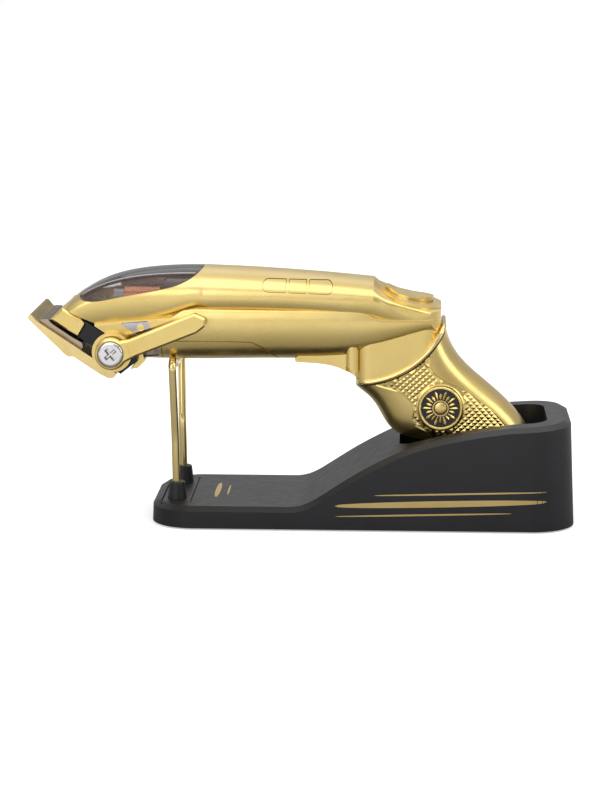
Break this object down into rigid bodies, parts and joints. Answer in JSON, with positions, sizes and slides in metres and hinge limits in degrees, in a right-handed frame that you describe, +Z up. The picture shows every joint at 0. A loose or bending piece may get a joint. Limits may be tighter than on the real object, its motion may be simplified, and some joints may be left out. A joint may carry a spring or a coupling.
{
  "type": "hair clipper",
  "caption": "Cordless hair clipper with a pistol grip, taper lever and smoked motor window, lying on a bent-rod cradle in its charging stand.",
  "frame": {"origin": "on the table, under the middle of the whole object's box", "axes": "+X from the blade to the stand's rear, +Y away from the taper lever, +Z up"},
  "size_m": [0.2238, 0.066, 0.1043],
  "materials": {
    "stand_black": "satin",
    "stand_base": "matte",
    "rubber_feet": "matte",
    "fasteners": "satin",
    "polished_gold": "polished",
    "contact_gold": "gloss",
    "socket_black": "matte",
    "circuit_board": "satin",
    "gold_shell": "satin",
    "gold_knurl": "satin",
    "emblem": "gloss",
    "smoked_window": "gloss",
    "chrome_parts": "polished",
    "bracket_black": "matte",
    "blade_gold": "satin",
    "blade_steel": "satin",
    "motor_steel": "satin",
    "magnet_grey": "gloss",
    "copper_wire": "satin",
    "battery_wrap": "gloss"
  },
  "bodies": {
    "stand": {"stand_shell": "stand_black", "stand_base_plate": "stand_base", "stand_feet": "rubber_feet", "stand_screws": "fasteners", "cradle_block": "stand_black", "cradle_rod": "polished_gold", "charge_block": "stand_black", "charge_pins": "contact_gold", "power_inlet": "socket_black", "charge_board": "circuit_board"},
    "clipper": {"top_housing": "gold_shell", "motor_window": "smoked_window", "bottom_housing": "gold_shell", "side_plate_backing": "gold_shell", "side_plates": "chrome_parts", "side_plate_inserts": "contact_gold", "belly_cover": "gold_shell", "finger_rest": "gold_shell", "guard_pins": "gold_shell", "grip_rim": "polished_gold", "grip_shell": "gold_shell", "grip_panel_left": "gold_knurl", "grip_panel_right": "gold_knurl", "grip_emblems": "emblem", "indicator_bars": "gold_shell", "power_switch": "bracket_black", "control_board": "circuit_board", "nose_cap": "gold_shell", "blade_bracket": "bracket_black", "fixed_blade": "blade_gold", "blade_screws": "fasteners", "armature_springs": "blade_steel", "motor_frame": "motor_steel", "motor_coil": "copper_wire", "battery": "battery_wrap", "charge_contacts": "contact_gold", "pivot_cap": "gold_shell"},
    "power_button": {"power_button": "gold_shell"},
    "taper_lever": {"taper_lever": "gold_shell", "lever_screw": "chrome_parts"},
    "cutter_carriage": {"cutter_carriage": "bracket_black"},
    "cutter": {"cutter_blade": "blade_steel"},
    "armature": {"armature": "motor_steel", "drive_finger": "blade_steel", "armature_magnets": "magnet_grey"}
  },
  "joints": [
    {"name": "lift_off", "type": "slide", "parent": "stand", "child": "clipper", "axis": [-0.6428, 0, 0.766], "range_m": [0, 0.075]},
    {"name": "power_press", "type": "slide", "parent": "clipper", "child": "power_button", "axis": [-0.2079, 0, -0.9781], "range_m": [0, 0.0008], "stiffness_N_per_m": 600, "springref_m": -0.001},
    {"name": "taper_turn", "type": "hinge", "parent": "clipper", "child": "taper_lever", "pos_m": [-0.0773, -0.026, 0.0714], "axis": [0, 1, 0], "range_deg": [0, 51]},
    {"name": "carriage_slide", "type": "slide", "parent": "clipper", "child": "cutter_carriage", "axis": [0.8339, 0, -0.5519], "range_m": [0, 0.00186]},
    {"name": "cutter_sweep", "type": "slide", "parent": "cutter_carriage", "child": "cutter", "axis": [0, 1, 0], "range_m": [-0.0015, 0.0015]},
    {"name": "armature_sweep", "type": "slide", "parent": "clipper", "child": "armature", "axis": [0, 1, 0], "range_m": [-0.0015, 0.0015], "stiffness_N_per_m": 400}
  ],
  "couplings": [
    {"joint": "taper_turn", "follows": "carriage_slide", "rad_per_m": 469.3},
    {"joint": "cutter_sweep", "follows": "armature_sweep", "ratio": 1}
  ]
}
